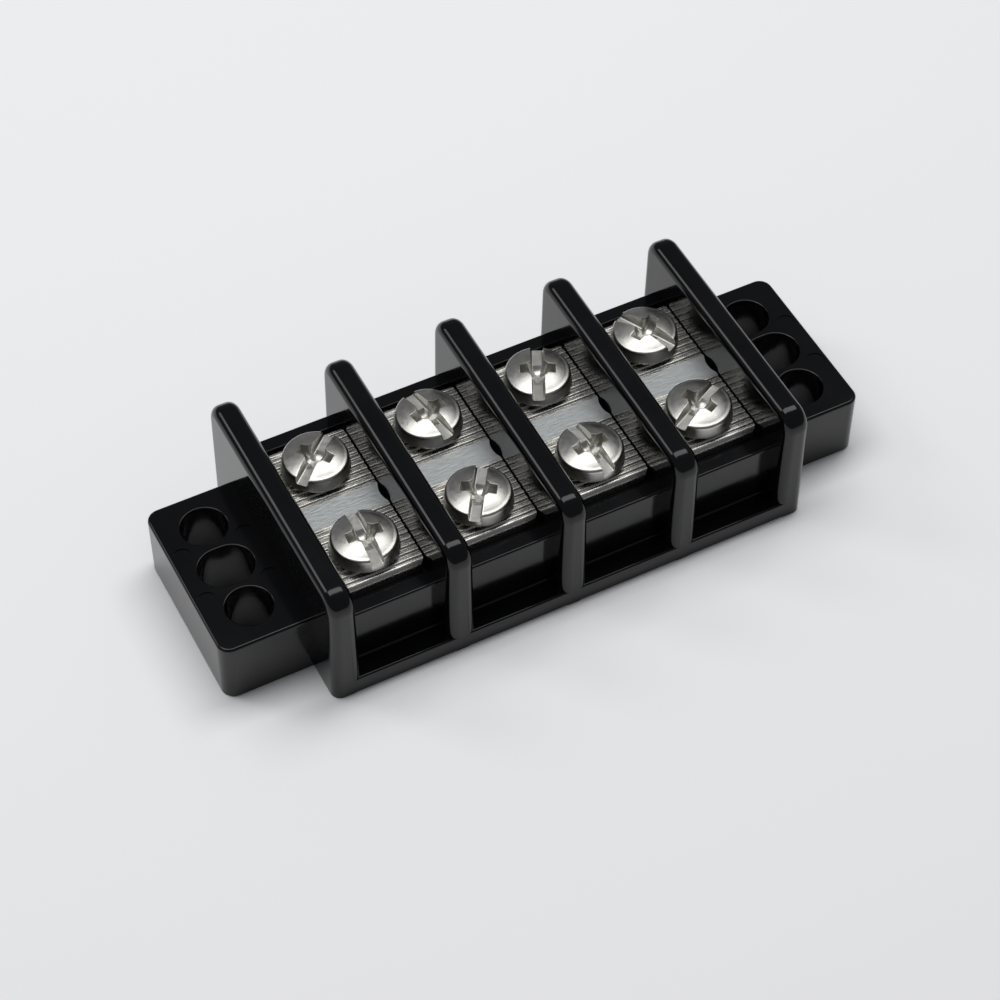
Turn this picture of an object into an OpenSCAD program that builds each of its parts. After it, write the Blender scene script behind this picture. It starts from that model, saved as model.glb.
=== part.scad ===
// Barrier terminal strip, four double-row circuits.
// Millimetres, +Z up, X along the strip, front is -Y, underside on Z = 0.

/* [Strip] */
// spacing of the circuits along the strip
pitch = 14.3; // [12.6:0.1:18]
// front to back size of the moulded body
body_w = 33.4; // [31:0.2:42]
// overall height, underside to the tops of the barriers
barrier_h = 17.1; // [15:0.1:24]
// thickness of each barrier wall
barrier_t = 3.2; // [2.4:0.1:4]
// radius of the top front and top back corners of a barrier
corner_r = 2.5; // [1.8:0.1:4]
// rounding of the long edges of a barrier
edge_r = 1; // [0.4:0.1:1.1]

/* [Base] */
// height of the low rail along the front and the back
rail_h = 2.45; // [1.5:0.05:4]
// front to back size of the raised block between two barriers
deck_w = 27.8; // [26:0.2:30]
// height of the raised block
deck_h = 10.15; // [9:0.05:11.5]
// front to back size of the plate recess in the block
recess_l = 24; // [23:0.1:25]
// depth of the plate recess
recess_d = 0.75; // [0.4:0.05:1.2]

/* [Ears] */
// length of a mounting ear beyond the end barrier
ear_l = 10.9; // [8.6:0.1:15]
// front to back size of a mounting ear
ear_w = 22.3; // [21:0.1:28]
// thickness of a mounting ear
ear_h = 8.65; // [5:0.05:9.5]
// radius of the outer corners of an ear
ear_r = 1.6; // [0.6:0.1:3]
// diameter of the round mounting holes
hole_d = 5.4; // [3.6:0.1:5.6]
// spacing of the two round holes in one ear
hole_gap = 12.6; // [12:0.1:15]
// length of the slotted middle hole, along the strip
slot_len = 6.5; // [5.8:0.1:7.4]
// diameter of the shallow ejector pin marks
pin_d = 2.3; // [1.4:0.1:2.6]

/* [Terminal plates] */
// width of a plate, along the strip
plate_w = 10.7; // [8.8:0.1:10.9]
// length of a plate, front to back
plate_l = 22.2; // [21:0.1:22.8]
// thickness of a plate
plate_t = 1.5; // [1:0.05:2]
// radius of the front and back top edges of a plate
plate_edge_r = 0.7; // [0.3:0.05:0.9]
// radius of the four corners of a plate, seen from above
plate_corner_r = 1; // [0.4:0.1:1.8]
// length of the smooth band across the middle of a plate
band_l = 3.3; // [2.6:0.1:5]
// spacing of the clamping ridges
ridge_gap = 0.9; // [0.7:0.05:1.3]
// depth of the grooves between the ridges
ridge_d = 0.2; // [0.1:0.01:0.3]
// depth of the shallow notch in each long side
notch_d = 0.35; // [0.2:0.05:0.6]

/* [Screws] */
// distance between the front and back screws of one circuit
screw_gap = 12.9; // [12:0.1:14]
// outside diameter of a screw head
head_d = 8.1; // [7:0.1:8.6]
// height of the head's side
head_side = 1.75; // [1.2:0.05:2.2]
// rise of the head's dome above its side
dome_h = 0.65; // [0.3:0.05:1]
// diameter of the threaded shank, thread left plain
shank_d = 4.1; // [3.4:0.1:4.4]
// length of the shank below the head
shank_l = 7; // [5:0.1:7.4]
// width of the driver slot
slot_w = 1.45; // [1:0.05:1.6]
// depth of the driver slot below the crown
slot_deep = 1.5; // [0.8:0.05:1.6]
// span of the cross recess
cross_d = 4.4; // [3.6:0.1:4.8]
// width of one wing of the cross recess
wing_w = 1.15; // [0.8:0.05:1.3]
// gap left open under the head, as the strip is supplied
screw_lift = 0.7; // [0.3:0.05:0.9]
// running clearance all round the shank in the plate
shank_fit = 0.06; // [0.02:0.01:0.1]

/* [Underside] */
// diameter of the clearance well under each screw
well_d = 4.9; // [4.6:0.1:5.4]
// thickness of material left under a well
well_floor = 2.6; // [1.5:0.1:3]
// depth of the coring pocket under each circuit
core_deep = 6.4; // [3:0.1:6.8]

/* [Hidden] */
$fn = 64;
poles = 4;
body_l = poles * pitch + barrier_t;
plate_z = deck_h - recess_d;
seat_z = plate_z + plate_t;
head_z = seat_z + screw_lift;
head_h = head_side + dome_h;
hole_x = body_l / 2 + ear_l / 2;
bay_w = pitch - barrier_t;
rim_r = head_d / 2;
top_r = rim_r - 0.18;
rim_f = 0.4;
bore_d = shank_d + 2 * shank_fit;
core_l = screw_gap - well_d - 3.4;
// turn of each driver slot about Z, front then back, circuits left to right
front_turn = [87.5, 56.5, -84.5, 27.5];
back_turn = [41.5, -79, 64.5, -62.5];

function bay_x(i) = (i - (poles - 1) / 2) * pitch;

// flat shape l by w with rounded corners, centred
module round_rect(l, w, r) {
    square([l - 2 * r, w], center = true);
    square([l, w - 2 * r], center = true);
    for (sx = [-1, 1], sy = [-1, 1])
        translate([sx * (l / 2 - r), sy * (w / 2 - r)]) circle(r);
}

// lay an XZ drawing along Y, centred
module along_y(len) {
    translate([0, len / 2, 0]) rotate([90, 0, 0])
        linear_extrude(height = len) children();
}

// lay a YZ drawing along X, centred
module along_x(len) {
    translate([-len / 2, 0, 0]) rotate([90, 0, 90])
        linear_extrude(height = len) children();
}

// one barrier wall: upright part, top bar and two revolved corners
module barrier() {
    low_h = barrier_h - corner_r;
    bar_l = body_w - 2 * corner_r;
    linear_extrude(height = low_h)
        round_rect(barrier_t, body_w, edge_r);
    along_y(bar_l) {
        translate([-barrier_t / 2, low_h - 1])
            square([barrier_t, corner_r + 1 - edge_r]);
        translate([-barrier_t / 2 + edge_r, low_h - 1])
            square([barrier_t - 2 * edge_r, corner_r + 1]);
        for (s = [-1, 1])
            translate([s * (barrier_t / 2 - edge_r), barrier_h - edge_r])
                circle(edge_r);
    }
    for (s = [0, 1])
        mirror([0, s, 0])
            translate([0, bar_l / 2, low_h])
                rotate([90, 0, 90])
                    rotate_extrude(angle = 90)
                        intersection() {
                            round_rect(2 * corner_r, barrier_t, edge_r);
                            translate([0, -barrier_t])
                                square([corner_r, 2 * barrier_t]);
                        }
}

module ear_plan() {
    reach = ear_l + barrier_t / 2;
    x0 = body_l / 2 - barrier_t / 2;
    translate([x0, -ear_w / 2]) square([reach - ear_r, ear_w]);
    translate([x0, -ear_w / 2 + ear_r])
        square([reach, ear_w - 2 * ear_r]);
    for (s = [-1, 1])
        translate([x0 + reach - ear_r, s * (ear_w / 2 - ear_r)])
            circle(ear_r);
}

// three through holes and four ejector marks of one ear
module ear_cuts() {
    for (s = [-1, 1])
        translate([hole_x, s * hole_gap / 2, -1])
            cylinder(d = hole_d, h = ear_h + 2);
    translate([hole_x, 0, -1])
        linear_extrude(height = ear_h + 2) {
            square([slot_len - hole_d, hole_d], center = true);
            for (s = [-1, 1])
                translate([s * (slot_len - hole_d) / 2, 0])
                    circle(d = hole_d);
        }
    for (sx = [-1, 1], sy = [-1, 1])
        translate([hole_x + sx * 3.85, sy * 3.45, ear_h - 0.12])
            cylinder(d = pin_d, h = 1);
}

module housing() {
    color([0.03, 0.03, 0.035])
    difference() {
        union() {
            translate([-poles * pitch / 2, -body_w / 2, 0])
                cube([poles * pitch, body_w, rail_h]);
            translate([-poles * pitch / 2, -deck_w / 2, 0])
                cube([poles * pitch, deck_w, deck_h]);
            for (i = [0:poles])
                translate([(i - poles / 2) * pitch, 0, 0]) barrier();
            for (s = [0, 1])
                mirror([s, 0, 0])
                    linear_extrude(height = ear_h) ear_plan();
        }
        for (s = [0, 1]) mirror([s, 0, 0]) ear_cuts();
        for (i = [0:poles - 1])
            translate([bay_x(i), 0, 0]) {
                translate([-bay_w / 2, -recess_l / 2, plate_z])
                    cube([bay_w, recess_l, recess_d + 1]);
                for (s = [-1, 1])
                    translate([0, s * screw_gap / 2, well_floor])
                        cylinder(d = well_d, h = deck_h);
                translate([-3.6, -core_l / 2, -1])
                    cube([7.2, core_l, core_deep + 1]);
            }
    }
}

// YZ outline of a plate: rounded ends, smooth band, two ridged pads
module plate_side() {
    e = plate_edge_r;
    flat = plate_l / 2 - e;
    n = floor((flat - band_l / 2 - 0.1) / ridge_gap);
    difference() {
        union() {
            translate([-plate_l / 2, 0]) square([plate_l, plate_t - e]);
            translate([-flat, 0]) square([2 * flat, plate_t]);
            for (s = [-1, 1])
                translate([s * flat, plate_t - e]) circle(e);
        }
        for (s = [-1, 1], k = [0:n - 1])
            translate([s * (band_l / 2 + (k + 0.5) * ridge_gap), plate_t])
                polygon([[-ridge_d * 1.2, 0.02], [0, -ridge_d],
                         [ridge_d * 1.2, 0.02]]);
    }
}

module terminal_plate(i) {
    color([0.78, 0.77, 0.72])
    translate([bay_x(i), 0, plate_z])
        difference() {
            intersection() {
                along_x(plate_w) plate_side();
                translate([0, 0, -1]) linear_extrude(height = plate_t + 2)
                    round_rect(plate_w, plate_l, plate_corner_r);
            }
            for (s = [-1, 1])
                translate([0, s * screw_gap / 2, -1])
                    cylinder(d = bore_d, h = plate_t + 2);
            for (s = [-1, 1])
                translate([s * (plate_w / 2 + 3 - notch_d), 0, -1])
                    cylinder(r = 3, h = plate_t + 2);
        }
}

// half outline of the head, radius along X
module head_outline() {
    polygon([[0, 0], [rim_r, 0], [top_r, head_side - rim_f],
             [top_r - rim_f, head_side - rim_f],
             [top_r - rim_f, head_side], [0, head_side]]);
    intersection() {
        translate([top_r - rim_f, head_side - rim_f]) circle(rim_f);
        square([head_d, head_d]);
    }
    a = top_r - rim_f;
    ball = (a * a + dome_h * dome_h) / (2 * dome_h);
    intersection() {
        translate([0, head_h - ball]) circle(ball, $fn = 180);
        square([a, head_h + 1]);
    }
}

module screw(i, side) {
    turn = side < 0 ? front_turn[i] : back_turn[i];
    color([0.82, 0.81, 0.76])
    translate([bay_x(i), side * screw_gap / 2, head_z])
        rotate([0, 0, turn]) {
            difference() {
                rotate_extrude() head_outline();
                translate([-head_d, -slot_w / 2, head_h - slot_deep])
                    cube([2 * head_d, slot_w, head_h]);
                for (q = [0, 90])
                    rotate([0, 0, q])
                        translate([0, wing_w / 2, head_h]) rotate([90, 0, 0])
                            linear_extrude(height = wing_w)
                                polygon([[-cross_d / 2, 0.1],
                                         [-cross_d / 2 + 0.35, -0.7],
                                         [-0.7, -2.1], [0.7, -2.1],
                                         [cross_d / 2 - 0.35, -0.7],
                                         [cross_d / 2, 0.1]]);
            }
            translate([0, 0, -shank_l + 0.5])
                cylinder(d = shank_d, h = shank_l - 0.4);
            translate([0, 0, -shank_l])
                cylinder(d1 = shank_d - 1, d2 = shank_d, h = 0.5);
        }
}

housing();
for (i = [0:poles - 1]) {
    terminal_plate(i);
    screw(i, -1);
    screw(i, 1);
}
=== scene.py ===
import math
import bpy
import bmesh
from mathutils import Matrix, Vector


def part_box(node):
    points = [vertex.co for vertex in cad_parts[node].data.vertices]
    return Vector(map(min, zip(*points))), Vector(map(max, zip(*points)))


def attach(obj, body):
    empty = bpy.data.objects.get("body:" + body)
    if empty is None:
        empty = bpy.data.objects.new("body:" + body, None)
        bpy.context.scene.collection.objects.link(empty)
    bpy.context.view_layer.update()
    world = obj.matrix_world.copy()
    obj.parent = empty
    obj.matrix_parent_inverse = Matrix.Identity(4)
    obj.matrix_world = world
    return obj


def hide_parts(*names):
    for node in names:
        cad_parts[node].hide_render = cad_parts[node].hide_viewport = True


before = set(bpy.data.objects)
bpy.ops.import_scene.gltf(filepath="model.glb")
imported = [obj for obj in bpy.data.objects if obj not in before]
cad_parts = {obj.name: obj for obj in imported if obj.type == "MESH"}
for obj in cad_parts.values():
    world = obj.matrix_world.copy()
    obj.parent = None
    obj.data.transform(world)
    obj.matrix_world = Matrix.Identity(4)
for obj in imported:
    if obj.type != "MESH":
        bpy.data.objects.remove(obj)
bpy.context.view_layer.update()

mm = 0.001

# --- Camera ---------------------------------------------------------------
# A long lens looking down on the strip from its front left, so that the
# tops, the fronts and the left-hand end all show.
view_turn = math.radians(-27.562)
view_lift = math.radians(50.923)
view_roll = math.radians(0.423)
toward = Vector((math.cos(view_lift) * math.sin(view_turn),
                 -math.cos(view_lift) * math.cos(view_turn),
                 math.sin(view_lift)))
level = Vector((math.cos(view_turn), math.sin(view_turn), 0))
upward = toward.cross(level)
side_on = math.cos(view_roll) * level + math.sin(view_roll) * upward
head_up = -math.sin(view_roll) * level + math.cos(view_roll) * upward
eye = (toward * 330.67 + side_on * -0.944 + head_up * 0.264) * mm
camera = bpy.data.objects.new("camera", bpy.data.cameras.new("camera"))
camera.data.lens = 100.55
camera.data.sensor_width = 36
camera.data.clip_start = 0.01
camera.data.clip_end = 20
camera.matrix_world = Matrix.Translation(eye) @ Matrix(
    (side_on, head_up, toward)).transposed().to_4x4()
bpy.context.scene.collection.objects.link(camera)
bpy.context.scene.camera = camera


# --- Studio ---------------------------------------------------------------
# A white table under one broad soft box, with a small one at the back left.
# The table keeps the shadow of the strip.
def soft_box(name, place, aim, width, depth, watts):
    lamp = bpy.data.lights.new(name, "AREA")
    lamp.shape = "RECTANGLE"
    lamp.size, lamp.size_y = width, depth
    lamp.energy = watts
    stand = bpy.data.objects.new(name, lamp)
    look = Vector(aim) - Vector(place)
    stand.matrix_world = (Matrix.Translation(place)
                          @ look.to_track_quat("-Z", "Y").to_matrix().to_4x4())
    bpy.context.scene.collection.objects.link(stand)


soft_box("overhead_box", (0.04, 0.12, 0.55), (0.04, 0, 0), 0.72, 0.25, 1.45)
soft_box("back_left_box", (-0.42, 0.42, 0.45), (0, 0, 0), 0.18, 0.22, 0.30)

world = bpy.data.worlds.new("studio_room")
world.use_nodes = True
world.node_tree.nodes["Background"].inputs["Color"].default_value = (
    0.92, 0.94, 1.0, 1)
world.node_tree.nodes["Background"].inputs["Strength"].default_value = 0.13
bpy.context.scene.world = world
bpy.context.scene.view_settings.view_transform = "Standard"

bpy.ops.mesh.primitive_plane_add(size=6, location=(0, 0, -0.00002))
table = bpy.context.object
table.name = "white_table"
paper = bpy.data.materials.new("white_paper")
paper.use_nodes = True
nodes, links = paper.node_tree.nodes, paper.node_tree.links
nodes.clear()
sheet_out = nodes.new("ShaderNodeOutputMaterial")
matt = nodes.new("ShaderNodeBsdfDiffuse")
matt.inputs["Color"].default_value = (0.86, 0.86, 0.87, 1)
lit = nodes.new("ShaderNodeBsdfDiffuse")
lit.inputs["Color"].default_value = (1.6, 1.6, 1.6, 1)
rays = nodes.new("ShaderNodeLightPath")
seen = nodes.new("ShaderNodeMath")
seen.operation = "MAXIMUM"
seen_glass = nodes.new("ShaderNodeMath")
seen_glass.operation = "MAXIMUM"
pick = nodes.new("ShaderNodeMixShader")
links.new(rays.outputs["Is Camera Ray"], seen.inputs[0])
links.new(rays.outputs["Is Glossy Ray"], seen.inputs[1])
links.new(seen.outputs[0], seen_glass.inputs[0])
links.new(rays.outputs["Is Transmission Ray"], seen_glass.inputs[1])
links.new(seen_glass.outputs[0], pick.inputs["Fac"])
links.new(matt.outputs[0], pick.inputs[1])
links.new(lit.outputs[0], pick.inputs[2])
links.new(pick.outputs[0], sheet_out.inputs["Surface"])
table.data.materials.append(paper)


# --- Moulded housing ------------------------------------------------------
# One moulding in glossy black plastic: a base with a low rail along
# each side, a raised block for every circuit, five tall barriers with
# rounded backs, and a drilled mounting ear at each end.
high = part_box("housing")[1]
ear_end = high.x
half_w = high.y
barrier_top = high.z
bay_mid = [(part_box(f"terminal_plate_{i}")[0].x
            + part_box(f"terminal_plate_{i}")[1].x) / 2 for i in range(1, 5)]
pitch = (bay_mid[3] - bay_mid[0]) / 3
barrier_mid = [bay_mid[0] - pitch / 2 + k * pitch for k in range(5)]
plate_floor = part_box("terminal_plate_1")[0].z
screw_y = (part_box("screw_back_1")[0].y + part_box("screw_back_1")[1].y) / 2
rail_h, deck_h = 2.45 * mm, 10.15 * mm
deck_half, recess_half = 13.9 * mm, 12 * mm
ear_h, ear_half = 8.65 * mm, 11.15 * mm
wall_foot, wall_head = 3.6 * mm, 3.15 * mm
hole_x, hole_y, hole_r = 35.65 * mm, 6.3 * mm, 2.7 * mm
slot_half = 3.25 * mm
mark_x, mark_y, mark_r = 3.85 * mm, 3.45 * mm, 1.15 * mm
well_r, well_floor = 2.45 * mm, 2.6 * mm
past = 1 * mm  # how far a cutter runs beyond the plastic


def mesh_object(name, shell):
    bmesh.ops.remove_doubles(shell, verts=shell.verts, dist=2e-7)
    bmesh.ops.recalc_face_normals(shell, faces=shell.faces)
    mesh = bpy.data.meshes.new(name)
    shell.to_mesh(mesh)
    shell.free()
    piece = bpy.data.objects.new(name, mesh)
    bpy.context.scene.collection.objects.link(piece)
    return piece


def stack(name, rings):
    """A closed solid through outlines of equal count."""
    shell = bmesh.new()
    rows = [[shell.verts.new(p) for p in ring] for ring in rings]
    count = len(rows[0])
    for under, over in zip(rows, rows[1:]):
        for i in range(count):
            j = (i + 1) % count
            shell.faces.new((under[i], under[j], over[j], over[i]))
    shell.faces.new(rows[0][::-1])
    shell.faces.new(rows[-1])
    return mesh_object(name, shell)


def lozenge(half_l, half_d, corner, grow, steps=12):
    """Points round a rectangle with rounded corners, grown outward."""
    a, b, r = half_l + grow, half_d + grow, max(corner + grow, 1e-6)
    ring = []
    for k, (sx, sy) in enumerate(((1, 1), (-1, 1), (-1, -1), (1, -1))):
        for s in range(steps + 1):
            t = math.pi / 2 * (k + s / steps)
            ring.append((sx * (a - r) + r * math.cos(t),
                         sy * (b - r) + r * math.sin(t)))
    return ring


def block(name, mid, half_l, half_d, corner, levels):
    """An upright block: levels are (height, growth) from the bottom up."""
    return stack(name, [
        [(mid[0] + x, mid[1] + y, z)
         for x, y in lozenge(half_l, half_d, corner, grow)]
        for z, grow in levels])


def soft_rim(z, radius, outward, steps=4):
    """Levels that round the top edge of a block, or the mouth of a hole."""
    return [(z - radius + radius * math.sin(math.pi / 2 * k / steps),
             outward * radius * (1 - math.cos(math.pi / 2 * k / steps)))
            for k in range(steps + 1)]


def rounded(corners, steps=4):
    """A closed outline with each corner (y, z, radius) rounded off."""
    ring = []
    for k, (y, z, radius) in enumerate(corners):
        here = Vector((y, z))
        back = Vector(corners[k - 1][:2]) - here
        ahead = Vector(corners[(k + 1) % len(corners)][:2]) - here
        back.normalize()
        ahead.normalize()
        half = back.angle(ahead) / 2
        middle = here + (back + ahead).normalized() * radius / math.sin(half)
        start = here + back * radius / math.tan(half) - middle
        end = here + ahead * radius / math.tan(half) - middle
        for s in range(steps + 1):
            t = s / steps
            turn = start.angle(end)
            ring.append(middle + (start * math.sin((1 - t) * turn)
                                  + end * math.sin(t * turn))
                        / math.sin(turn))
    return ring


def base_length(name):
    """The base along its length: rails, block sides, lips and recess."""
    step = [(-half_w, 0, 0.15), (-half_w, rail_h, 0.25),
            (-deck_half, rail_h, 0.25), (-deck_half, deck_h, 0.25),
            (-recess_half, deck_h, 0.12), (-recess_half, plate_floor, 0.1)]
    outline = [(y, z, r * mm) for y, z, r in step]
    outline += [(-y, z, r) for y, z, r in outline[::-1]]
    ring = rounded(outline)
    return stack(name, [[(x, p.x, p.y) for p in ring]
                        for x in (barrier_mid[0], barrier_mid[4])])


def wall_rows(mid):
    """Outlines across a barrier, face to face, with its edges rounded."""
    corner = 2.5 * mm
    ring = [(-half_w, 0, -1, 0), (-half_w, barrier_top - corner, -1, 0)]
    for k in range(1, 12):
        t = math.pi / 2 * k / 12
        ring.append((-half_w + corner * (1 - math.cos(t)),
                     barrier_top - corner * (1 - math.sin(t)),
                     -math.cos(t), math.sin(t)))
    ring.append((-half_w + corner, barrier_top, 0, 1))
    ring += [(-y, z, -ny, nz) for y, z, ny, nz in ring[::-1]]
    rows = []
    for step in range(-8, 9):
        if step == 0:
            flanks = [(-1, 0.0), (1, 0.0)]
        else:
            flanks = [(math.copysign(1, step), math.pi / 2 * abs(step) / 8)]
        for side, t in flanks:
            row = []
            for y, z, ny, nz in ring:
                edge = (1.2 - 0.05 * nz) * mm
                inset = edge * (1 - math.cos(t))
                y2, z2 = y - ny * inset, z - nz * inset
                wall = wall_foot + (wall_head - wall_foot) * z2 / barrier_top
                row.append((mid + side * (wall / 2 - edge
                                          + edge * math.sin(t)), y2, z2))
            rows.append(row)
    return rows


solids = [base_length("base_length")]
for k, mid in enumerate(barrier_mid):
    solids.append(stack(f"wall_{k}", wall_rows(mid)))
for side in (-1, 1):
    inner, outer = barrier_mid[4], ear_end
    solids.append(block(
        f"ear_{side}", (side * (inner + outer) / 2, 0), (outer - inner) / 2,
        ear_half, 1.6 * mm,
        [(0, -0.12 * mm), (0.12 * mm, 0)] + soft_rim(ear_h, 0.35 * mm, -1)))

cutters = []
through_ear = ([(-past, 0)] + soft_rim(ear_h, 0.2 * mm, 1)
               + [(ear_h + past, 0.2 * mm)])
for side in (-1, 1):
    for y in (-hole_y, hole_y):
        cutters.append(block("ear_hole", (side * hole_x, y),
                             hole_r, hole_r, hole_r, through_ear))
    cutters.append(block("ear_slot", (side * hole_x, 0),
                         slot_half, hole_r, hole_r, through_ear))
    for x in (-mark_x, mark_x):
        for y in (-mark_y, mark_y):
            cutters.append(block(
                "pin_mark", (side * hole_x + x, y), mark_r, mark_r, mark_r,
                [(ear_h - 0.1 * mm, -0.05 * mm), (ear_h + past, 0.02 * mm)]))
for mid in bay_mid:
    for y in (-screw_y, screw_y):
        cutters.append(block(
            "screw_well", (mid, y), well_r, well_r, well_r,
            [(well_floor, 0), (deck_h + past, 0)]))
    cutters.append(block(
        "core_pocket", (mid, 0), 3.6 * mm, 2.3 * mm, 0.4 * mm,
        [(-1 * mm, 0.05 * mm), (6.4 * mm, -0.05 * mm)]))


def merged(pieces, name):
    group = bpy.data.collections.new(name)
    for piece in pieces:
        bpy.context.scene.collection.objects.unlink(piece)
        group.objects.link(piece)
    return group


def evaluated_mesh(piece):
    bpy.context.view_layer.update()
    graph = bpy.context.evaluated_depsgraph_get()
    return bpy.data.meshes.new_from_object(piece.evaluated_get(graph),
                                           depsgraph=graph)


housing = solids.pop(0)
for label, pieces, how in (("housing_solids", solids, "UNION"),
                           ("housing_cutters", cutters, "DIFFERENCE")):
    joiner = housing.modifiers.new(label, "BOOLEAN")
    joiner.operation = how
    joiner.operand_type = "COLLECTION"
    joiner.collection = merged(pieces, label)
    joiner.solver = "EXACT"
housing_mesh = evaluated_mesh(housing)
housing.modifiers.clear()
housing.data = housing_mesh
housing.name = "moulded_housing"
for piece in solids + cutters:
    bpy.data.objects.remove(piece)


def smooth_but_crisp(piece, angle):
    """Rounded parts shade smooth, while flats and sharp edges stay true."""
    mesh = piece.data
    mesh.polygons.foreach_set("use_smooth", [True] * len(mesh.polygons))
    mesh.set_sharp_from_angle(angle=math.radians(angle))
    weigh = piece.modifiers.new("weigh", "WEIGHTED_NORMAL")
    weigh.keep_sharp = True
    weigh.weight = 50
    done = evaluated_mesh(piece)
    piece.modifiers.clear()
    piece.data = done


smooth_but_crisp(housing, 32)


def new_finish(name):
    finish = bpy.data.materials.new(name)
    finish.use_nodes = True
    made = finish.node_tree.nodes
    shine = made["Principled BSDF"]
    where = made.new("ShaderNodeTexCoord").outputs["Object"]
    return finish, made, finish.node_tree.links, shine, where


def noise(nodes, links, where, scale, detail=2.0, rough=0.5):
    cloud = nodes.new("ShaderNodeTexNoise")
    cloud.inputs["Scale"].default_value = scale
    cloud.inputs["Detail"].default_value = detail
    cloud.inputs["Roughness"].default_value = rough
    links.new(where, cloud.inputs["Vector"])
    return cloud.outputs["Fac"]


def spread(nodes, links, value, low_in, high_in, low_out, high_out):
    remap = nodes.new("ShaderNodeMapRange")
    for label, number in (("From Min", low_in), ("From Max", high_in),
                          ("To Min", low_out), ("To Max", high_out)):
        remap.inputs[label].default_value = number
    links.new(value, remap.inputs["Value"])
    return remap.outputs["Result"]


def tint(nodes, links, value, dark, pale):
    mix = nodes.new("ShaderNodeMix")
    mix.data_type = "RGBA"
    mix.inputs["A"].default_value = (*dark, 1)
    mix.inputs["B"].default_value = (*pale, 1)
    links.new(value, mix.inputs["Factor"])
    return mix.outputs["Result"]


def relief(nodes, links, height, distance, strength, under=None):
    bump = nodes.new("ShaderNodeBump")
    bump.inputs["Distance"].default_value = distance
    bump.inputs["Strength"].default_value = strength
    links.new(height, bump.inputs["Height"])
    if under:
        links.new(under, bump.inputs["Normal"])
    return bump.outputs["Normal"]


black, nodes, links, shine, where = new_finish("glossy_black_moulding")
flow = noise(nodes, links, where, 160, 3)
grain = noise(nodes, links, where, 2600, 2)
links.new(tint(nodes, links, flow,
               (0.0022, 0.0024, 0.0030), (0.0042, 0.0046, 0.0054)),
      shine.inputs["Base Color"])
links.new(spread(nodes, links, flow, 0.3, 0.7, 0.10, 0.17),
          shine.inputs["Roughness"])
links.new(relief(nodes, links, grain, 0.00001, 0.05,
             relief(nodes, links, flow, 0.0004, 0.03)), shine.inputs["Normal"])
shine.inputs["IOR"].default_value = 1.46
housing.data.materials.clear()
housing.data.materials.append(black)
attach(housing, "strip")
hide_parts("housing")


# --- Terminal plates ------------------------------------------------------
# Nickel-plated brass strips, one to a circuit, lying loose in the recess.
# Both ends are rounded over and rolled with fine clamping ridges, and the
# middle is left smooth, with a shallow notch in each long side.
def tree_with(name, inputs):
    tree = bpy.data.node_groups.new(name, "GeometryNodeTree")
    for label, kind, value in inputs:
        socket = tree.interface.new_socket(
            name=label, in_out="INPUT", socket_type=kind)
        if value is not None:
            socket.default_value = value
    tree.interface.new_socket(name="Geometry", in_out="OUTPUT",
                              socket_type="NodeSocketGeometry")
    feed = tree.nodes.new("NodeGroupInput")
    return tree, tree.nodes, tree.links, feed.outputs


def set_input(modifier, label, value):
    for socket in modifier.node_group.interface.items_tree:
        if socket.name == label and socket.in_out == "INPUT":
            modifier[socket.identifier] = value


def math_node(nodes, links, how, *values):
    node = nodes.new("ShaderNodeMath")
    node.operation = how
    for socket, value in zip(node.inputs, values):
        if isinstance(value, (int, float)):
            socket.default_value = value
        else:
            links.new(value, socket)
    return node.outputs[0]


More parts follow.
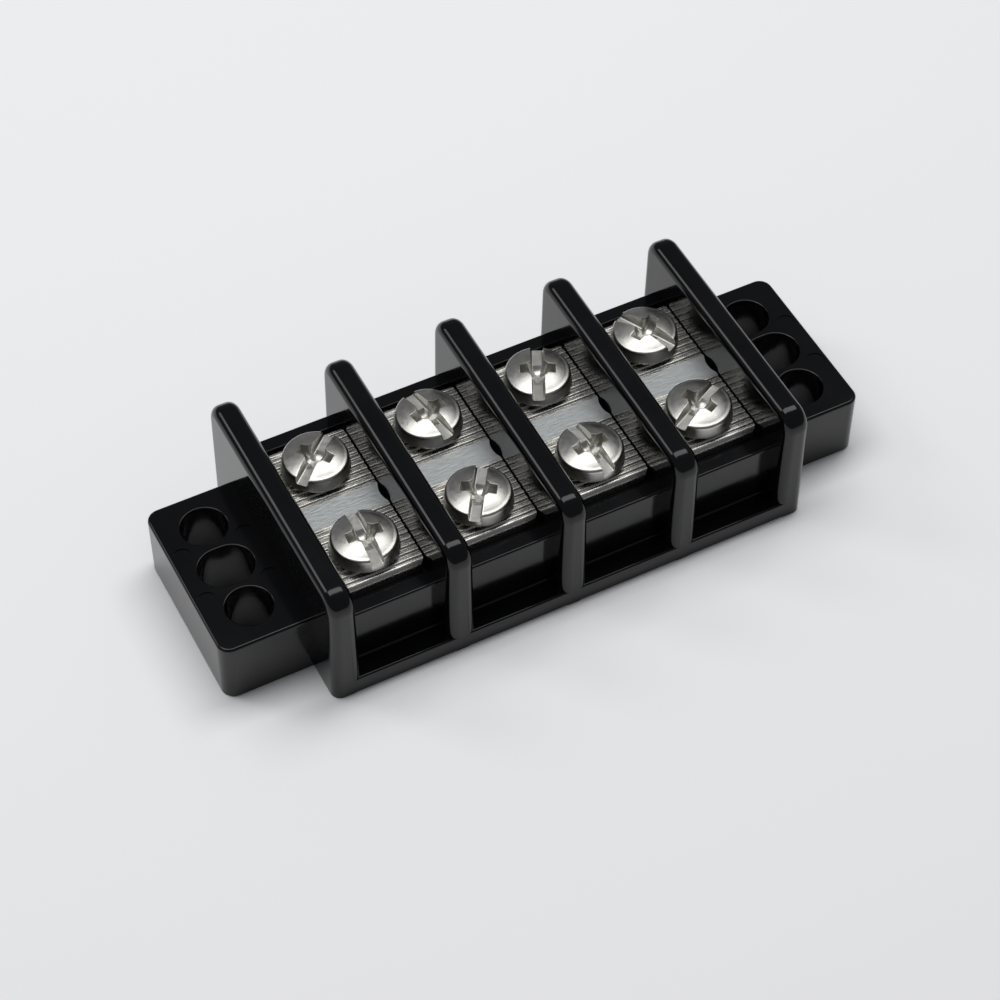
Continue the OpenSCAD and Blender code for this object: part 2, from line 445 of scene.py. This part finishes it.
def plate_tree():
    tree, nodes, links, given = tree_with("ridged_plate", (
        ("Length", "NodeSocketFloat", 22.2 * mm),
        ("Width", "NodeSocketFloat", 10.7 * mm),
        ("Corner radius", "NodeSocketFloat", 1.0 * mm),
        ("Thickness", "NodeSocketFloat", 1.5 * mm),
        ("End radius", "NodeSocketFloat", 0.7 * mm),
        ("Band half", "NodeSocketFloat", 1.65 * mm),
        ("Ridge spacing", "NodeSocketFloat", 0.9 * mm),
        ("Groove width", "NodeSocketFloat", 0.42 * mm),
        ("Groove depth", "NodeSocketFloat", 0.15 * mm),
        ("Screw spacing", "NodeSocketFloat", 2 * screw_y),
        ("Bore radius", "NodeSocketFloat", 2.11 * mm),
        ("Notch depth", "NodeSocketFloat", 0.35 * mm),
        ("Middle", "NodeSocketFloat", 0.0),
        ("Floor", "NodeSocketFloat", plate_floor),
        ("Finish", "NodeSocketMaterial", None)))

    def do(how, *values):
        return math_node(nodes, links, how, *values)

    def vector(x=0.0, y=0.0, z=0.0):
        node = nodes.new("ShaderNodeCombineXYZ")
        for socket, value in zip(node.inputs, (x, y, z)):
            if isinstance(value, (int, float)):
                socket.default_value = value
            else:
                links.new(value, socket)
        return node.outputs[0]

    side = nodes.new("GeometryNodeCurvePrimitiveQuadrilateral")
    links.new(given["Length"], side.inputs["Width"])
    links.new(given["Thickness"], side.inputs["Height"])
    spot = nodes.new("GeometryNodeInputPosition")
    part = nodes.new("ShaderNodeSeparateXYZ")
    links.new(spot.outputs[0], part.inputs[0])
    upper = do("GREATER_THAN", part.outputs["Y"], 0.0)
    radius = do("ADD", do("MULTIPLY", upper, given["End radius"]),
                0.08 * mm)
    curl = nodes.new("GeometryNodeFilletCurve")
    curl.mode = "POLY"
    curl.inputs["Count"].default_value = 8
    links.new(side.outputs["Curve"], curl.inputs["Curve"])
    links.new(radius, curl.inputs["Radius"])
    fine = nodes.new("GeometryNodeResampleCurve")
    fine.mode = "LENGTH"
    fine.inputs["Length"].default_value = 0.07 * mm
    links.new(curl.outputs[0], fine.inputs["Curve"])
    # height lost in the grooves
    along = part.outputs["X"]
    reach = do("SUBTRACT", do("ABSOLUTE", along), given["Band half"])
    inside = do("SUBTRACT", do("SUBTRACT", do("MULTIPLY", given["Length"],
                                              0.5), given["End radius"]),
                do("ABSOLUTE", along))
    ridged = do("MULTIPLY", do("GREATER_THAN", reach, 0.0),
                do("GREATER_THAN", inside, 0.0))
    from_groove = do("ABSOLUTE", do("SUBTRACT", do("FRACT", do(
        "DIVIDE", reach, given["Ridge spacing"])), 0.5))
    groove = do("MAXIMUM", do("SUBTRACT", 1.0, do(
        "DIVIDE", do("MULTIPLY", from_groove, given["Ridge spacing"]),
        do("MULTIPLY", given["Groove width"], 0.5))), 0.0)
    top = do("GREATER_THAN", part.outputs["Y"],
             do("MULTIPLY", given["Thickness"], 0.45))
    drop = do("MULTIPLY", do("MULTIPLY", do("MULTIPLY", groove, ridged), top),
              do("MULTIPLY", given["Groove depth"], -1.0))
    move = nodes.new("GeometryNodeSetPosition")
    links.new(fine.outputs[0], move.inputs["Geometry"])
    links.new(vector(0.0, drop, 0.0), move.inputs["Offset"])
    fill = nodes.new("GeometryNodeFillCurve")
    fill.mode = "NGONS"
    links.new(move.outputs[0], fill.inputs[0])
    push = nodes.new("GeometryNodeExtrudeMesh")
    push.inputs["Individual"].default_value = False
    links.new(fill.outputs[0], push.inputs["Mesh"])
    links.new(vector(0.0, 0.0, 1.0), push.inputs["Offset"])
    links.new(given["Width"], push.inputs["Offset Scale"])
    flip = nodes.new("GeometryNodeFlipFaces")
    links.new(fill.outputs[0], flip.inputs["Mesh"])
    join = nodes.new("GeometryNodeJoinGeometry")
    links.new(push.outputs["Mesh"], join.inputs[0])
    links.new(flip.outputs[0], join.inputs[0])
    weld = nodes.new("GeometryNodeMergeByDistance")
    weld.inputs["Distance"].default_value = 1e-7
    links.new(join.outputs[0], weld.inputs["Geometry"])
    lay = nodes.new("GeometryNodeTransform")
    lay.inputs["Rotation"].default_value = (math.pi / 2, 0, math.pi / 2)
    links.new(weld.outputs[0], lay.inputs["Geometry"])
    links.new(vector(do("SUBTRACT", given["Middle"],
                    do("MULTIPLY", given["Width"], 0.5)), 0.0,
                 do("ADD", given["Floor"],
                    do("MULTIPLY", given["Thickness"], 0.5))),
          lay.inputs["Translation"])

    # corners rounded in plan
    plan = nodes.new("GeometryNodeCurvePrimitiveQuadrilateral")
    links.new(given["Width"], plan.inputs["Width"])
    links.new(given["Length"], plan.inputs["Height"])
    turn = nodes.new("GeometryNodeFilletCurve")
    turn.mode = "POLY"
    turn.inputs["Count"].default_value = 8
    links.new(plan.outputs["Curve"], turn.inputs["Curve"])
    links.new(given["Corner radius"], turn.inputs["Radius"])
    sheet = nodes.new("GeometryNodeFillCurve")
    sheet.mode = "NGONS"
    links.new(turn.outputs[0], sheet.inputs[0])
    tall = nodes.new("GeometryNodeExtrudeMesh")
    tall.inputs["Individual"].default_value = False
    links.new(sheet.outputs[0], tall.inputs["Mesh"])
    links.new(vector(0.0, 0.0, 1.0), tall.inputs["Offset"])
    tall.inputs["Offset Scale"].default_value = 6 * mm
    under = nodes.new("GeometryNodeFlipFaces")
    links.new(sheet.outputs[0], under.inputs["Mesh"])
    die = nodes.new("GeometryNodeJoinGeometry")
    links.new(tall.outputs["Mesh"], die.inputs[0])
    links.new(under.outputs[0], die.inputs[0])
    closed = nodes.new("GeometryNodeMergeByDistance")
    closed.inputs["Distance"].default_value = 1e-7
    links.new(die.outputs[0], closed.inputs["Geometry"])
    place = nodes.new("GeometryNodeTransform")
    links.new(closed.outputs[0], place.inputs["Geometry"])
    links.new(vector(given["Middle"], 0.0, do("SUBTRACT", given["Floor"],
                                          2 * mm)),
          place.inputs["Translation"])
    trim = nodes.new("GeometryNodeMeshBoolean")
    trim.operation = "INTERSECT"
    trim.solver = "EXACT"
    links.new(lay.outputs[0], trim.inputs["Mesh 2"])
    links.new(place.outputs[0], trim.inputs["Mesh 2"])

    bite = nodes.new("GeometryNodeMeshBoolean")
    bite.operation = "DIFFERENCE"
    bite.solver = "EXACT"
    links.new(trim.outputs["Mesh"], bite.inputs["Mesh 1"])

    def drill(radius, x, y, steps):
        pin = nodes.new("GeometryNodeMeshCylinder")
        pin.inputs["Vertices"].default_value = steps
        pin.inputs["Depth"].default_value = 8 * mm
        if isinstance(radius, float):
            pin.inputs["Radius"].default_value = radius
        else:
            links.new(radius, pin.inputs["Radius"])
        put = nodes.new("GeometryNodeTransform")
        links.new(pin.outputs["Mesh"], put.inputs["Geometry"])
        links.new(vector(x, y, given["Floor"]), put.inputs["Translation"])
        links.new(put.outputs[0], bite.inputs["Mesh 2"])

    for way in (-1, 1):
        drill(given["Bore radius"], given["Middle"],
              do("MULTIPLY", given["Screw spacing"], 0.5 * way), 40)
        reach_out = do("SUBTRACT", do("ADD", do(
            "MULTIPLY", given["Width"], 0.5), 3 * mm), given["Notch depth"])
        drill(3 * mm, do("ADD", given["Middle"],
                         do("MULTIPLY", reach_out, float(way))), 0.0, 72)
    real = nodes.new("GeometryNodeRealizeInstances")
    links.new(bite.outputs["Mesh"], real.inputs[0])
    dress = nodes.new("GeometryNodeSetMaterial")
    links.new(real.outputs[0], dress.inputs["Geometry"])
    links.new(given["Finish"], dress.inputs["Material"])
    out = nodes.new("NodeGroupOutput")
    links.new(dress.outputs[0], out.inputs[0])
    return tree


def made_by(tree, name, values):
    """One plain mesh from a tree, with the named inputs set."""
    piece = bpy.data.objects.new(name, bpy.data.meshes.new(name))
    bpy.context.scene.collection.objects.link(piece)
    maker = piece.modifiers.new("maker", "NODES")
    maker.node_group = tree
    for label, value in values.items():
        set_input(maker, label, value)
    made = evaluated_mesh(piece)
    piece.modifiers.clear()
    piece.data = made
    return piece


nickel, nodes, links, shine, where = new_finish("nickel_plated_strip")
split = nodes.new("ShaderNodeSeparateXYZ")
links.new(where, split.inputs[0])
mottle = noise(nodes, links, where, 1100, 5, 0.65)
fleck = noise(nodes, links, where, 3800, 2)
off_middle = math_node(nodes, links, "ABSOLUTE", split.outputs["Y"])
worked = spread(nodes, links, off_middle, 1.5 * mm, 1.9 * mm, 0, 1)
stretch = nodes.new("ShaderNodeMapping")
stretch.inputs["Scale"].default_value = (1, 6, 1)
links.new(where, stretch.inputs["Vector"])
drag = noise(nodes, links, stretch.outputs[0], 900, 3)
band_look = tint(nodes, links, mottle, (0.50, 0.53, 0.54), (0.66, 0.68, 0.67))
pad_look = tint(nodes, links, mottle, (0.55, 0.54, 0.50), (0.70, 0.69, 0.65))
both_looks = nodes.new("ShaderNodeMix")
both_looks.data_type = "RGBA"
links.new(worked, both_looks.inputs["Factor"])
links.new(band_look, both_looks.inputs["A"])
links.new(pad_look, both_looks.inputs["B"])
links.new(both_looks.outputs["Result"], shine.inputs["Base Color"])
links.new(math_node(nodes, links, "SUBTRACT",
                    spread(nodes, links, fleck, 0.25, 0.75, 0.34, 0.46),
                    math_node(nodes, links, "MULTIPLY", worked, 0.12)),
      shine.inputs["Roughness"])
links.new(relief(nodes, links, drag, 0.00006, 0.35), shine.inputs["Normal"])
shine.inputs["Metallic"].default_value = 1.0

plate_low, plate_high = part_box("terminal_plate_1")
plate_width = plate_high.x - plate_low.x
ridged = plate_tree()
for i, mid in enumerate(bay_mid, 1):
    plate = made_by(ridged, f"nickel_plate_{i}", {
        "Middle": mid, "Width": plate_width, "Finish": nickel})
    for face in plate.data.polygons:
        face.use_smooth = True
    smooth_but_crisp(plate, 40)
    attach(plate, "strip")
    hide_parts(f"terminal_plate_{i}")


# --- Terminal screws ------------------------------------------------------
# Eight nickel-plated binding-head screws, slot and cross recess in one,
# started in their plates with the heads standing a little clear.
head_low, head_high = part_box("screw_front_1")
head_r = (head_high.x - head_low.x) / 2
crown = head_high.z
head_h = 2.4 * mm
head_foot = crown - head_h
shank_l = head_foot - head_low.z
shank_r = 2.05 * mm


def lathe(name, outline, steps=96):
    """A closed turned solid from (radius, height) pairs, ends on the axis."""
    shell = bmesh.new()
    rows = []
    for r, z in outline:
        if r < 1e-7:
            rows.append([shell.verts.new((0, 0, z))])
        else:
            rows.append([shell.verts.new((
                r * math.cos(math.tau * k / steps),
                r * math.sin(math.tau * k / steps), z))
                for k in range(steps)])
    for a, b in zip(rows, rows[1:]):
        for k in range(steps):
            j = (k + 1) % steps
            if len(a) == 1:
                shell.faces.new((a[0], b[k], b[j]))
            elif len(b) == 1:
                shell.faces.new((a[k], a[j], b[0]))
            else:
                shell.faces.new((a[k], a[j], b[j], b[k]))
    return mesh_object(name, shell)


def binding_head():
    """The head with its recess, its underside at zero."""
    top_r, fillet, side_h, rise = head_r - 0.18 * mm, 0.4 * mm, 1.75 * mm, \
        0.65 * mm
    outline = [(0, 0), (head_r - 0.1 * mm, 0), (head_r, 0.1 * mm),
               (head_r - 0.02 * mm, 0.22 * mm)]
    for k in range(7):
        t = math.pi / 2 * k / 6
        outline.append((top_r - fillet + fillet * math.cos(t),
                        side_h - fillet + fillet * math.sin(t)))
    flat = top_r - fillet
    ball = (flat * flat + rise * rise) / (2 * rise)
    for k in range(1, 15):
        r = flat * (1 - k / 14)
        outline.append((r, side_h + rise - ball
                        + math.sqrt(ball * ball - r * r)))
    head = lathe("binding_head", outline)
    crown_z = side_h + rise

    half, floor_half, deep, bend = 0.80, 0.52, 1.5, 0.32
    slot_side = [(-half - 0.05, 1.0), (-half + 0.04, -deep + bend)]
    for k in range(1, 5):
        t = math.pi / 2 * k / 4
        slot_side.append((-half + 0.04 + (half - 0.04 - floor_half)
                          * (1 - math.cos(t)),
                          -deep + bend - bend * math.sin(t)))
    slot_side += [(-y, z) for y, z in slot_side[::-1]]
    slot = stack("slot_tool", [
        [(x * mm, y * mm, crown_z + z * mm) for y, z in slot_side]
        for x in (-6, 6)])

    def cross(span, wing, core, z):
        ring = []
        for q in range(4):
            c, s = math.cos(q * math.pi / 2), math.sin(q * math.pi / 2)
            for x, y in ((span, -wing), (span, wing),
                         (core, wing), (wing, core)):
                ring.append(((x * c - y * s) * mm, (x * s + y * c) * mm,
                             crown_z + z * mm))
        return ring

    recess = stack("cross_tool", [
        cross(0.55, 0.22, 0.34, -2.15), cross(1.30, 0.46, 0.72, -1.75),
        cross(1.95, 0.58, 1.00, -1.10), cross(2.10, 0.66, 1.15, -0.30),
        cross(2.16, 0.70, 1.25, 0.05), cross(2.25, 0.74, 1.35, 1.0)])
    for tool in (slot, recess):
        cut = head.modifiers.new("cut", "BOOLEAN")
        cut.operation = "DIFFERENCE"
        cut.object = tool
        cut.solver = "EXACT"
    soften = head.modifiers.new("soften", "BEVEL")
    soften.limit_method = "ANGLE"
    soften.angle_limit = math.radians(38)
    soften.width = 0.06 * mm
    soften.segments = 2
    mesh = evaluated_mesh(head)
    head.modifiers.clear()
    head.data = mesh
    for tool in (slot, recess):
        bpy.data.objects.remove(tool)
    # Painted shade: a mask that grows with depth below the head's skin, for
    # darkening the slot and cross recess
    inside = mesh.attributes.new("recess", "FLOAT", "POINT")
    for k, vertex in enumerate(mesh.vertices):
        r = vertex.co.xy.length
        skin = (side_h + rise - ball + math.sqrt(ball * ball - r * r)
                if r < flat else side_h)
        depth = (skin - vertex.co.z) / mm
        inside.data[k].value = (
            max(0.0, min(1.0, (depth - 0.08) / 0.9))
            if r < top_r - 0.15 * mm and vertex.co.z > 0.15 * mm else 0.0)
    return head


def screw_tree():
    tree, nodes, links, given = tree_with("threaded_screw", (
        ("Head", "NodeSocketObject", None),
        ("Place", "NodeSocketVector", None),
        ("Turn", "NodeSocketFloat", 0.0),
        ("Shank length", "NodeSocketFloat", shank_l),
        ("Crest radius", "NodeSocketFloat", shank_r),
        ("Thread depth", "NodeSocketFloat", 0.4 * mm),
        ("Thread pitch", "NodeSocketFloat", 0.794 * mm),
        ("Finish", "NodeSocketMaterial", None)))

    def do(how, *values):
        return math_node(nodes, links, how, *values)

    rod = nodes.new("GeometryNodeMeshCylinder")
    rod.inputs["Vertices"].default_value = 40
    rod.inputs["Side Segments"].default_value = 84
    rod.inputs["Radius"].default_value = 1.0
    links.new(do("ADD", given["Shank length"], 0.3 * mm), rod.inputs["Depth"])
    spot = nodes.new("GeometryNodeInputPosition")
    part = nodes.new("ShaderNodeSeparateXYZ")
    links.new(spot.outputs[0], part.inputs[0])
    angle = do("ARCTAN2", part.outputs["Y"], part.outputs["X"])
    turns = do("SUBTRACT", do("DIVIDE", part.outputs["Z"],
                              given["Thread pitch"]),
               do("DIVIDE", angle, math.tau))
    tooth = do("MULTIPLY", do("PINGPONG", turns, 0.5), 2.0)
    flank = nodes.new("ShaderNodeMapRange")
    flank.inputs["From Min"].default_value = 0.12
    flank.inputs["From Max"].default_value = 0.88
    links.new(tooth, flank.inputs["Value"])
    # the point is chamfered over its last half millimetre
    low_end = do("SUBTRACT", do("MULTIPLY", do(
        "ADD", given["Shank length"], 0.3 * mm), 0.5), do(
        "ABSOLUTE", do("MINIMUM", part.outputs["Z"], 0.0)))
    taper = nodes.new("ShaderNodeMapRange")
    taper.inputs["From Min"].default_value = 0.0
    taper.inputs["From Max"].default_value = 0.6 * mm
    taper.inputs["To Min"].default_value = 0.5 * mm
    taper.inputs["To Max"].default_value = 0.0
    links.new(low_end, taper.inputs["Value"])
    wide = do("SUBTRACT", given["Crest radius"],
              do("MAXIMUM", do("MULTIPLY", flank.outputs[0],
                               given["Thread depth"]),
                 taper.outputs[0]))
    flat = nodes.new("ShaderNodeCombineXYZ")
    links.new(do("MULTIPLY", part.outputs["X"], wide), flat.inputs[0])
    links.new(do("MULTIPLY", part.outputs["Y"], wide), flat.inputs[1])
    links.new(part.outputs["Z"], flat.inputs[2])
    thread = nodes.new("GeometryNodeSetPosition")
    links.new(rod.outputs["Mesh"], thread.inputs["Geometry"])
    links.new(flat.outputs[0], thread.inputs["Position"])
    hang = nodes.new("GeometryNodeTransform")
    links.new(thread.outputs[0], hang.inputs["Geometry"])
    drop = nodes.new("ShaderNodeCombineXYZ")
    links.new(do("ADD", do("MULTIPLY", given["Shank length"], -0.5), 0.15 * mm),
          drop.inputs[2])
    links.new(drop.outputs[0], hang.inputs["Translation"])
    head = nodes.new("GeometryNodeObjectInfo")
    links.new(given["Head"], head.inputs["Object"])
    join = nodes.new("GeometryNodeMeshBoolean")
    join.operation = "UNION"
    join.solver = "EXACT"
    links.new(head.outputs["Geometry"], join.inputs["Mesh 2"])
    links.new(hang.outputs[0], join.inputs["Mesh 2"])
    spin = nodes.new("ShaderNodeCombineXYZ")
    links.new(given["Turn"], spin.inputs[2])
    put = nodes.new("GeometryNodeTransform")
    links.new(join.outputs["Mesh"], put.inputs["Geometry"])
    links.new(given["Place"], put.inputs["Translation"])
    links.new(spin.outputs[0], put.inputs["Rotation"])
    real = nodes.new("GeometryNodeRealizeInstances")
    links.new(put.outputs[0], real.inputs[0])
    dress = nodes.new("GeometryNodeSetMaterial")
    links.new(real.outputs[0], dress.inputs["Geometry"])
    links.new(given["Finish"], dress.inputs["Material"])
    out = nodes.new("NodeGroupOutput")
    links.new(dress.outputs[0], out.inputs[0])
    return tree


bright, nodes, links, shine, where = new_finish("nickel_plated_screw")
# Painted shade in the slot and cross recess: the head's colour goes toward dark
# olive as the depth mask grows
painted_recess_shade = nodes.new("ShaderNodeAttribute")
painted_recess_shade.attribute_name = "recess"
satin = noise(nodes, links, where, 1500, 4, 0.6)
pits = noise(nodes, links, where, 5200, 2)
skin = tint(nodes, links, satin, (0.58, 0.57, 0.53), (0.70, 0.69, 0.65))
mix = nodes.new("ShaderNodeMix")
mix.data_type = "RGBA"
links.new(painted_recess_shade.outputs["Fac"], mix.inputs["Factor"])
links.new(skin, mix.inputs["A"])
# dark olive of the painted recess shade
mix.inputs["B"].default_value = (0.20, 0.175, 0.115, 1)
links.new(mix.outputs["Result"], shine.inputs["Base Color"])
links.new(spread(nodes, links, satin, 0.3, 0.7, 0.27, 0.37),
          shine.inputs["Roughness"])
links.new(relief(nodes, links, pits, 0.00003, 0.3), shine.inputs["Normal"])
shine.inputs["Metallic"].default_value = 1.0

slot_turns = {"front": (87.5, 56.5, -84.5, 27.5),
              "back": (41.5, -79, 64.5, -62.5)}
head_form = binding_head()
threaded = screw_tree()
for side, row_y in (("front", -screw_y), ("back", screw_y)):
    for i, mid in enumerate(bay_mid, 1):
        screw = made_by(threaded, f"screw_{side}_{i}_nickel", {
            "Head": head_form, "Place": (mid, row_y, head_foot),
            "Turn": math.radians(slot_turns[side][i - 1]),
            "Finish": bright})
        smooth_but_crisp(screw, 34)
        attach(screw, f"screw_{side}_{i}_body")
        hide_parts(f"screw_{side}_{i}")
bpy.data.objects.remove(head_form)
